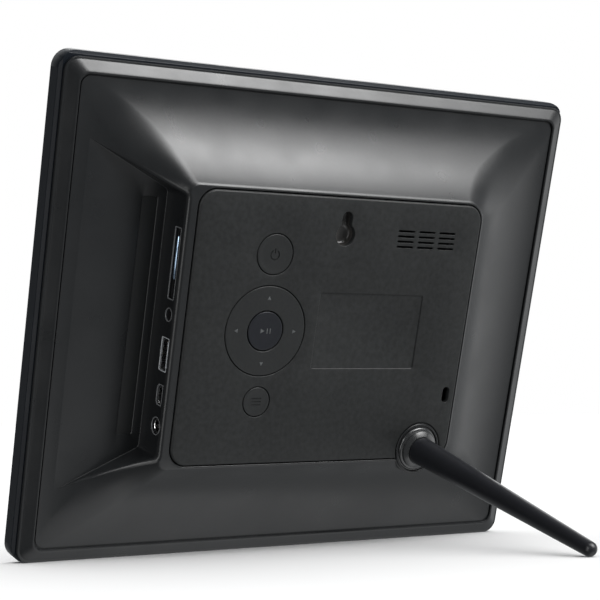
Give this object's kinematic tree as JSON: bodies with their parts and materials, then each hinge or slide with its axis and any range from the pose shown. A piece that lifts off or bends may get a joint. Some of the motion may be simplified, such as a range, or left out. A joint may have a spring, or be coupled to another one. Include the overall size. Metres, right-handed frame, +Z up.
{
  "type": "digital photo frame",
  "caption": "Leaning tabletop digital photo frame with a raised rear housing, side sockets, push keys, a four-way rocker ring, a small speaker and a swivelling screw-in stand leg.",
  "frame": {"origin": "on the surface that the frame stands on, at the middle of its width and of its depth with the stand leg fitted", "axes": "the display faces -Y and slightly up, +Z is up, and +X is to the right as seen from the front, towards the sockets"},
  "size_m": [0.2456, 0.1554, 0.1965],
  "materials": {
    "bezel_plastic": "semi-gloss black, smooth",
    "clear_window": "clear, polished",
    "display_glass": "dark, unlit display",
    "tray_metal": "plain sheet metal",
    "bracket_metal": "zinc-plated sheet",
    "screw_steel": "zinc-plated",
    "flat_cable": "amber film",
    "ivory_plastic": "ivory moulded plastic",
    "cover_plastic": "black, finely textured",
    "plate_plastic": "black, finely textured",
    "circuit_board": "green solder mask",
    "chip_black": "moulded black",
    "card_socket_metal": "bluish plated sheet",
    "socket_black": "moulded black",
    "socket_shell": "bright plated sheet",
    "pin_metal": "bright plated",
    "switch_dark": "moulded dark grey",
    "key_plastic": "black, satin",
    "speaker_steel": "grey stamped steel",
    "cone_black": "black paper cone",
    "magnet_steel": "plated magnet can",
    "foam_black": "soft foam",
    "wire_red": "insulated lead",
    "turret_plastic": "black, satin",
    "insert_brass": "knurled insert, plain",
    "leg_plastic": "semi-gloss black"
  },
  "bodies": {
    "frame": {"front_bezel": "bezel_plastic", "front_window": "clear_window", "lcd_glass": "display_glass", "lcd_backlight": "tray_metal", "lcd_brackets": "bracket_metal", "bracket_screws": "screw_steel", "lcd_ribbon": "flat_cable", "lcd_connector": "ivory_plastic", "rear_cover": "cover_plastic", "back_plate": "plate_plastic", "plate_screws": "screw_steel", "main_board": "circuit_board", "board_chips": "chip_black", "board_screws": "screw_steel", "card_socket": "card_socket_metal", "audio_jack": "socket_black", "usb_socket": "socket_shell", "usb_tongue": "ivory_plastic", "mini_usb_socket": "socket_shell", "mini_usb_tongue": "socket_black", "dc_jack": "socket_black", "dc_jack_pin": "pin_metal", "key_switches": "switch_dark", "dpad_plungers": "ivory_plastic", "speaker_frame": "speaker_steel", "speaker_cone": "cone_black", "speaker_magnet": "magnet_steel", "speaker_gasket": "foam_black", "speaker_wires": "wire_red"},
    "power_key": {"power_button": "key_plastic", "power_plunger": "ivory_plastic"},
    "menu_key": {"menu_button": "key_plastic", "menu_plunger": "ivory_plastic"},
    "play_key": {"play_button": "key_plastic", "play_plunger": "ivory_plastic"},
    "dpad_hinge": {"dpad_hinge_ring": "key_plastic"},
    "dpad": {"dpad_ring": "key_plastic"},
    "turret": {"stand_turret": "turret_plastic", "stand_insert": "insert_brass", "stand_spring_washer": "bracket_metal", "stand_washer": "bracket_metal", "stand_screw": "screw_steel"},
    "stud": {"leg_stud": "screw_steel"},
    "leg": {"stand_leg": "leg_plastic"}
  },
  "joints": [
    {"name": "power_press", "type": "slide", "parent": "frame", "child": "power_key", "axis": [0, -0.9606, 0.2781], "range_m": [0, 0.0005], "stiffness_N_per_m": 600, "springref_m": -0.001},
    {"name": "menu_press", "type": "slide", "parent": "frame", "child": "menu_key", "axis": [0, -0.9606, 0.2781], "range_m": [0, 0.0005], "stiffness_N_per_m": 600, "springref_m": -0.001},
    {"name": "play_press", "type": "slide", "parent": "frame", "child": "play_key", "axis": [0, -0.9606, 0.2781], "range_m": [0, 0.0005], "stiffness_N_per_m": 600, "springref_m": -0.001},
    {"name": "dpad_rock_updown", "type": "hinge", "parent": "frame", "child": "dpad_hinge", "pos_m": [0.0323, -0.02479, 0.09202], "axis": [1, 0, 0], "range_deg": [-2.5, 2.5], "stiffness_Nm_per_rad": 1.2},
    {"name": "dpad_rock_sideways", "type": "hinge", "parent": "dpad_hinge", "child": "dpad", "pos_m": [0.0323, -0.02479, 0.09202], "axis": [0, 0.2781, 0.9606], "range_deg": [-2.5, 2.5], "stiffness_Nm_per_rad": 1.2},
    {"name": "stand_swivel", "type": "hinge", "parent": "frame", "child": "turret", "pos_m": [-0.0533, -0.03655, 0.0417], "axis": [0, 0.9606, -0.2781], "range_deg": [0, 90]},
    {"name": "leg_screw_travel", "type": "slide", "parent": "turret", "child": "stud", "axis": [0, 0.9447, -0.328], "range_m": [0, 0.0072]},
    {"name": "leg_screw_turn", "type": "hinge", "parent": "stud", "child": "leg", "pos_m": [-0.0533, -0.03655, 0.0417], "axis": [0, 0.9447, -0.328], "range_deg": [0, 3245]}
  ],
  "couplings": [
    {"joint": "leg_screw_turn", "follows": "leg_screw_travel", "rad_per_m": 7854}
  ]
}
